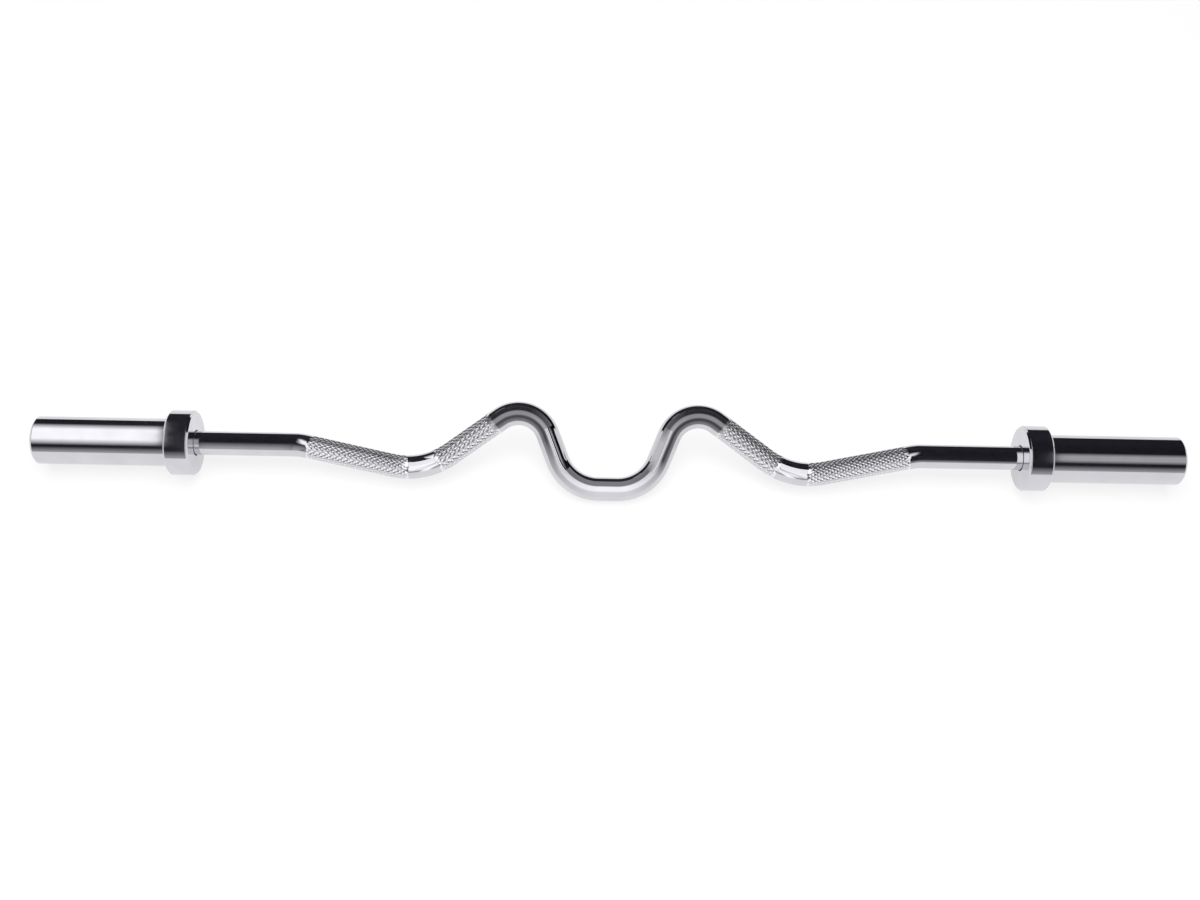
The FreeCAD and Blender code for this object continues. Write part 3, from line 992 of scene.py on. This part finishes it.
def light_room(scene, finish):
    """World that looks white, and lights the rest only dimly."""
    world = bpy.data.worlds.new("Studio")
    scene.world = world
    world.use_nodes = True
    tree = world.node_tree
    tree.nodes.clear()
    room = add_node(tree, "ShaderNodeBackground", {"Color": (*finish.room, 1)})
    white = add_node(tree, "ShaderNodeBackground", {"Color": WHITE})
    mixed = add_node(
        tree,
        "ShaderNodeMixShader",
        {0: seen(tree), 1: room.outputs["Background"], 2: white.outputs["Background"]},
    )
    add_node(tree, "ShaderNodeOutputWorld", {"Surface": mixed.outputs["Shader"]})


def place_camera(scene, sizes):
    """Camera over the bar's near side, about square to the bends' plane, with a sideways shift."""
    lens = bpy.data.cameras.new("camera")
    lens.sensor_width = SENSOR_WIDTH
    lens.lens = lens.sensor_width * sizes.focal_share
    lens.shift_x = sizes.shift_share
    sine, cosine = math.sin(sizes.camera_elevation), math.cos(sizes.camera_elevation)
    across, up, back = Vector((1, 0, 0)), Vector((0, sine, cosine)), Vector((0, -cosine, sine))
    place = Vector((sizes.camera_side, 0, 0)) + back * sizes.camera_distance
    turned = Matrix((across, up, back)).transposed() @ Matrix.Rotation(sizes.camera_roll, 3, "Z")
    camera = bpy.data.objects.new("camera", lens)
    camera.matrix_world = Matrix.Translation(place) @ turned.to_4x4()
    scene.collection.objects.link(camera)
    scene.camera = camera


class CURLBAR_PT_sidebar(bpy.types.Panel):
    """Curl bar pieces, in the order in which they are made"""

    bl_idname = "CURLBAR_PT_sidebar"
    bl_label = "Curl bar"
    bl_space_type = "VIEW_3D"
    bl_region_type = "UI"
    bl_category = "Curl bar"

    def draw(self, context):
        for operator in OPERATORS:
            self.layout.operator(operator.bl_idname)


OPERATORS = (
    CURLBAR_OT_shaft,
    CURLBAR_OT_sleeves,
    CURLBAR_OT_collars,
    CURLBAR_OT_end_caps,
    CURLBAR_OT_cad_finishes,
    CURLBAR_OT_stage,
)
SETTINGS = (
    ShaftSizes,
    KnurlSizes,
    SleeveSizes,
    CollarSizes,
    Finishes,
    StageSizes,
    CurlBarSettings,
)
CLASSES = (*SETTINGS, *OPERATORS, CURLBAR_PT_sidebar)


def register():
    """Registers the classes and adds the settings to every scene."""
    for kind in CLASSES:
        bpy.utils.register_class(kind)
    bpy.types.Scene.curl_bar = bpy.props.PointerProperty(type=CurlBarSettings)


def unregister():
    """Takes the settings and the classes away again."""
    del bpy.types.Scene.curl_bar
    for kind in reversed(CLASSES):
        bpy.utils.unregister_class(kind)


def main():
    """Makes every piece in order."""
    register()
    bpy.ops.curlbar.shaft()
    bpy.ops.curlbar.sleeves()
    bpy.ops.curlbar.collars()
    bpy.ops.curlbar.end_caps()
    bpy.ops.curlbar.cad_finishes()
    bpy.ops.curlbar.stage()


if __name__ == "__main__":
    main()
